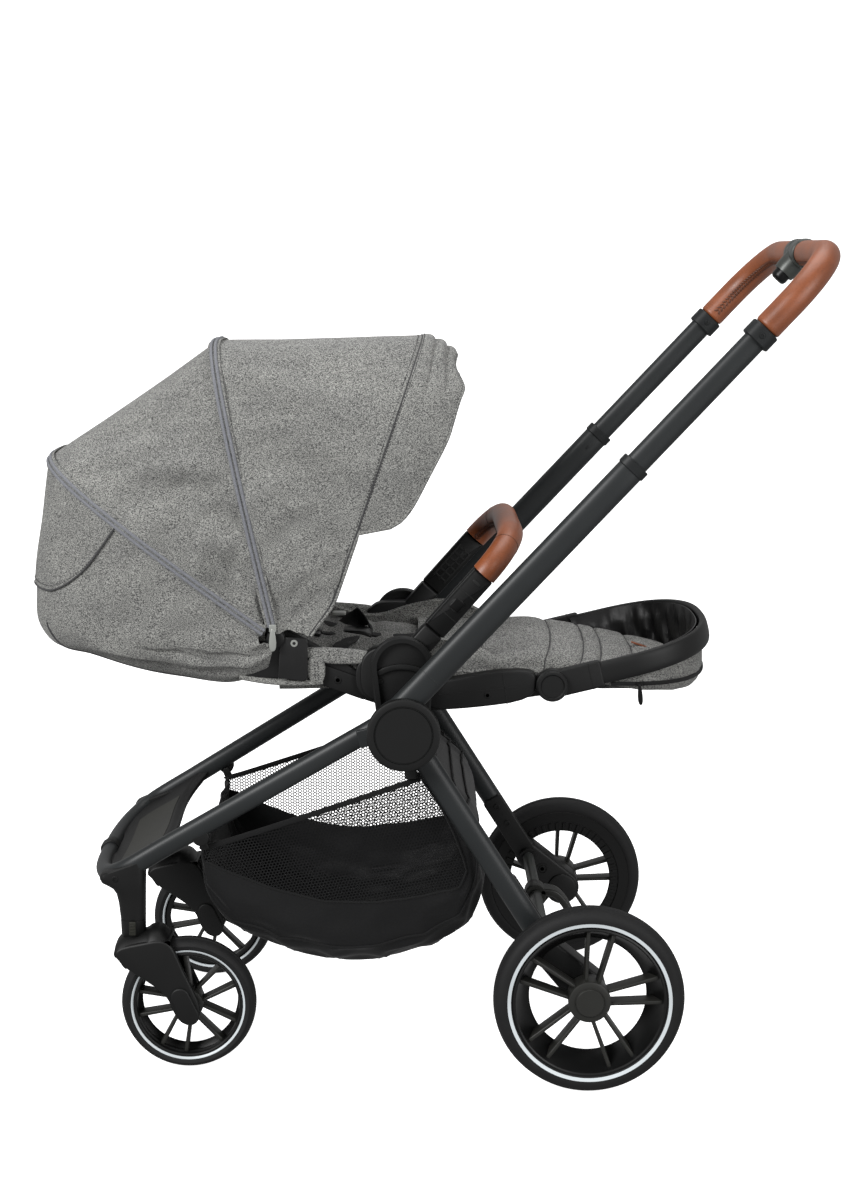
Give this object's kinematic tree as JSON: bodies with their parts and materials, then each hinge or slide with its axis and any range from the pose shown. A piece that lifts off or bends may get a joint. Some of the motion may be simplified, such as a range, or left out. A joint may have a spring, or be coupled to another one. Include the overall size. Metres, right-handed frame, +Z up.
{
  "type": "jogging stroller",
  "caption": "Folding pushchair with swivel front casters, large rear wheels, telescopic leather-grip handle, reclined seat with bumper bar and leg rest, grey canopy and mesh basket.",
  "frame": {"origin": "middle of the footprint's box, on the floor under the wheels", "axes": "+X to the handle and rear wheels, +Y to the right-hand side as the person pushing sees it, +Z up"},
  "size_m": [1.0624, 0.5776, 1.102],
  "materials": {
    "tube_anthracite": "satin anodised",
    "black_plastic": "fine grain",
    "grey_plastic": "fine grain",
    "tan_leather": "smooth, soft sheen",
    "tyre_rubber": "matt",
    "steel": "satin",
    "grey_heather": "woven heather",
    "black_mesh": "coated cloth and net"
  },
  "bodies": {
    "chassis": {"front_leg_left": "tube_anthracite", "front_leg_right": "tube_anthracite", "caster_housing_left": "black_plastic", "caster_housing_right": "black_plastic", "fold_hub_left": "black_plastic", "fold_hub_right": "black_plastic", "seat_mount_left": "black_plastic", "seat_mount_right": "black_plastic", "front_bow": "tube_anthracite", "foot_plate": "grey_plastic", "storage_basket": "black_mesh"},
    "rear_frame": {"rear_leg_left": "tube_anthracite", "rear_leg_right": "tube_anthracite", "axle_housing_left": "black_plastic", "axle_housing_right": "black_plastic", "rear_cross_tube": "steel"},
    "brake": {"brake_pedal": "grey_plastic"},
    "push_frame": {"push_tube_left": "tube_anthracite", "push_tube_right": "tube_anthracite", "tube_sleeve_left": "black_plastic", "tube_sleeve_right": "black_plastic"},
    "handle": {"handle_tube_left": "tube_anthracite", "handle_tube_right": "tube_anthracite", "handle_grip_left": "tan_leather", "handle_grip_right": "tan_leather", "grip_collar_left": "black_plastic", "grip_collar_right": "black_plastic", "button_housing": "black_plastic"},
    "handle_release": {"handle_button": "black_plastic"},
    "seat": {"seat_rail_left": "black_plastic", "seat_rail_right": "black_plastic", "seat_pad": "grey_heather", "back_tub": "grey_heather"},
    "legrest": {"legrest_frame": "tube_anthracite", "legrest_pad": "grey_heather"},
    "bumper": {"bumper_arm_left": "black_plastic", "bumper_arm_right": "black_plastic", "bumper_grip": "tan_leather"},
    "canopy_mid": {"canopy_bow_mid": "black_plastic", "canopy_middle": "grey_heather"},
    "canopy_fore": {"canopy_bow_front": "black_plastic", "canopy_front": "grey_heather"},
    "swivel_lock_left_slider": {"swivel_lock_left": "black_plastic"},
    "caster_left": {"caster_fork_left": "grey_plastic", "front_axle_left": "steel"},
    "front_wheel_left": {"front_rim_left": "grey_plastic", "front_tyre_left": "tyre_rubber"},
    "rear_wheel_left": {"rear_rim_left": "grey_plastic", "rear_tyre_left": "tyre_rubber"},
    "knob_left": {"legrest_knob_left": "black_plastic"},
    "bumper_release_left": {"bumper_button_left": "black_plastic"},
    "swivel_lock_right_slider": {"swivel_lock_right": "black_plastic"},
    "caster_right": {"caster_fork_right": "grey_plastic", "front_axle_right": "steel"},
    "front_wheel_right": {"front_rim_right": "grey_plastic", "front_tyre_right": "tyre_rubber"},
    "rear_wheel_right": {"rear_rim_right": "grey_plastic", "rear_tyre_right": "tyre_rubber"},
    "knob_right": {"legrest_knob_right": "black_plastic"},
    "bumper_release_right": {"bumper_button_right": "black_plastic"}
  },
  "joints": [
    {"name": "handle_fold", "type": "hinge", "parent": "chassis", "child": "push_frame", "pos_m": [-0.02915, 0, 0.475], "axis": [0, -1, 0], "range_deg": [0, 150]},
    {"name": "rear_fold", "type": "hinge", "parent": "chassis", "child": "rear_frame", "pos_m": [-0.02915, 0, 0.475], "axis": [0, 1, 0], "range_deg": [0, 25.5]},
    {"name": "brake_press", "type": "hinge", "parent": "rear_frame", "child": "brake", "pos_m": [0.15894, 0, 0.17747], "axis": [0, 1, 0], "range_deg": [0, 20]},
    {"name": "handle_telescope", "type": "slide", "parent": "push_frame", "child": "handle", "axis": [0.6858, 0, 0.7278], "range_m": [-0.11, 0]},
    {"name": "handle_press", "type": "slide", "parent": "handle", "child": "handle_release", "axis": [0.6858, 0, 0.7278], "range_m": [0, 0.006], "stiffness_N_per_m": 300, "springref_m": -0.004},
    {"name": "seat_tilt", "type": "hinge", "parent": "chassis", "child": "seat", "pos_m": [-0.03115, 0, 0.55], "axis": [0, 1, 0], "range_deg": [0, 25]},
    {"name": "legrest_tilt", "type": "hinge", "parent": "seat", "child": "legrest", "pos_m": [0.16585, 0, 0.5243], "axis": [0, 1, 0], "range_deg": [0, 45]},
    {"name": "bumper_pull", "type": "slide", "parent": "seat", "child": "bumper", "axis": [0.6639, 0, 0.7478], "range_m": [0, 0.1]},
    {"name": "canopy_mid_fold", "type": "hinge", "parent": "seat", "child": "canopy_mid", "pos_m": [-0.19615, 0, 0.588], "axis": [0, -1, 0], "range_deg": [0, 30], "deforming": ["canopy_middle"]},
    {"name": "canopy_front_fold", "type": "hinge", "parent": "canopy_mid", "child": "canopy_fore", "pos_m": [-0.19615, 0, 0.588], "axis": [0, -1, 0], "range_deg": [0, 25], "deforming": ["canopy_front"]},
    {"name": "swivel_lock_left_slide", "type": "slide", "parent": "chassis", "child": "swivel_lock_left_slider", "axis": [0, 0, 1], "range_m": [0, 0.006]},
    {"name": "caster_swivel_left", "type": "hinge", "parent": "chassis", "child": "caster_left", "pos_m": [-0.39015, -0.18, 0.1838], "axis": [0, 0, 1], "continuous": true},
    {"name": "front_wheel_spin_left", "type": "hinge", "parent": "caster_left", "child": "front_wheel_left", "pos_m": [-0.31865, -0.18, 0.0905], "axis": [0, 1, 0], "continuous": true},
    {"name": "rear_wheel_spin_left", "type": "hinge", "parent": "rear_frame", "child": "rear_wheel_left", "pos_m": [0.21185, -0.268, 0.125], "axis": [0, 1, 0], "continuous": true},
    {"name": "legrest_press_left", "type": "slide", "parent": "legrest", "child": "knob_left", "axis": [0, 1, 0], "range_m": [0, 0.003], "stiffness_N_per_m": 400, "springref_m": -0.003},
    {"name": "bumper_press_left", "type": "slide", "parent": "bumper", "child": "bumper_release_left", "axis": [0, 1, 0], "range_m": [0, 0.002], "stiffness_N_per_m": 400, "springref_m": -0.003},
    {"name": "swivel_lock_right_slide", "type": "slide", "parent": "chassis", "child": "swivel_lock_right_slider", "axis": [0, 0, 1], "range_m": [0, 0.006]},
    {"name": "caster_swivel_right", "type": "hinge", "parent": "chassis", "child": "caster_right", "pos_m": [-0.39015, 0.18, 0.1838], "axis": [0, 0, 1], "continuous": true},
    {"name": "front_wheel_spin_right", "type": "hinge", "parent": "caster_right", "child": "front_wheel_right", "pos_m": [-0.31865, 0.18, 0.0905], "axis": [0, 1, 0], "continuous": true},
    {"name": "rear_wheel_spin_right", "type": "hinge", "parent": "rear_frame", "child": "rear_wheel_right", "pos_m": [0.21185, 0.268, 0.125], "axis": [0, 1, 0], "continuous": true},
    {"name": "legrest_press_right", "type": "slide", "parent": "legrest", "child": "knob_right", "axis": [0, -1, 0], "range_m": [0, 0.003], "stiffness_N_per_m": 400, "springref_m": -0.003},
    {"name": "bumper_press_right", "type": "slide", "parent": "bumper", "child": "bumper_release_right", "axis": [0, -1, 0], "range_m": [0, 0.002], "stiffness_N_per_m": 400, "springref_m": -0.003}
  ],
  "couplings": [
    {"joint": "rear_fold", "follows": "handle_fold", "ratio": 0.17},
    {"joint": "canopy_front_fold", "follows": "canopy_mid_fold", "ratio": 0.83333}
  ]
}
